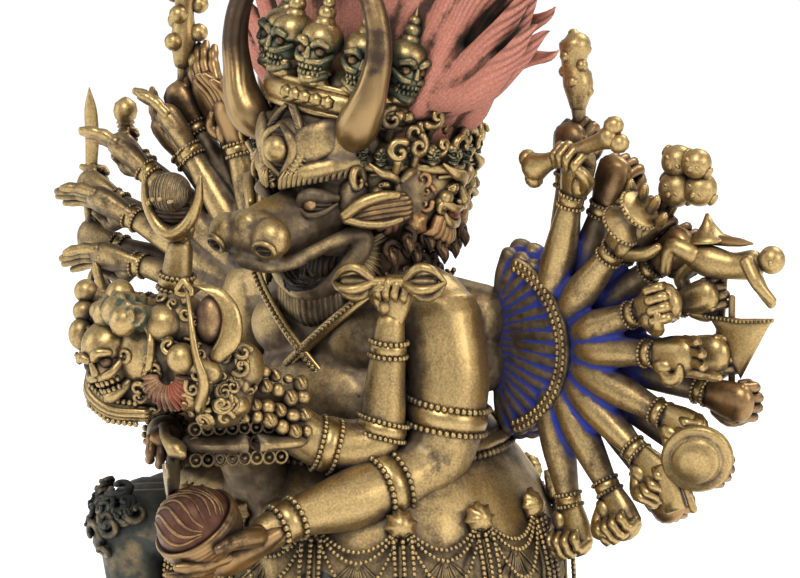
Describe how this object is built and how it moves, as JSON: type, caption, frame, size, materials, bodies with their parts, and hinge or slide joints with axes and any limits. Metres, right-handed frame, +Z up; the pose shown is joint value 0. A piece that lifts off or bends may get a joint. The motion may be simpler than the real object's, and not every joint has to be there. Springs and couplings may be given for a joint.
{
  "type": "yamantaka statue",
  "caption": "Gilt copper-alloy statue of a buffalo-headed, many-armed deity embracing a consort, standing on an oval lotus base.",
  "frame": {"origin": "centre of the lotus base's underside, on the plane that it stands on", "axes": "+Z up; the deity faces -Y; +X is the deity's left"},
  "size_m": [0.2704, 0.1566, 0.3552],
  "materials": {
    "gilt_copper_alloy": "worn gilding over brown patina, with traces of pigment"
  },
  "bodies": {
    "root": {"couple": "gilt_copper_alloy", "left_arm_fan": "gilt_copper_alloy", "right_arm_fan": "gilt_copper_alloy", "lotus_base": "gilt_copper_alloy"}
  },
  "joints": []
}
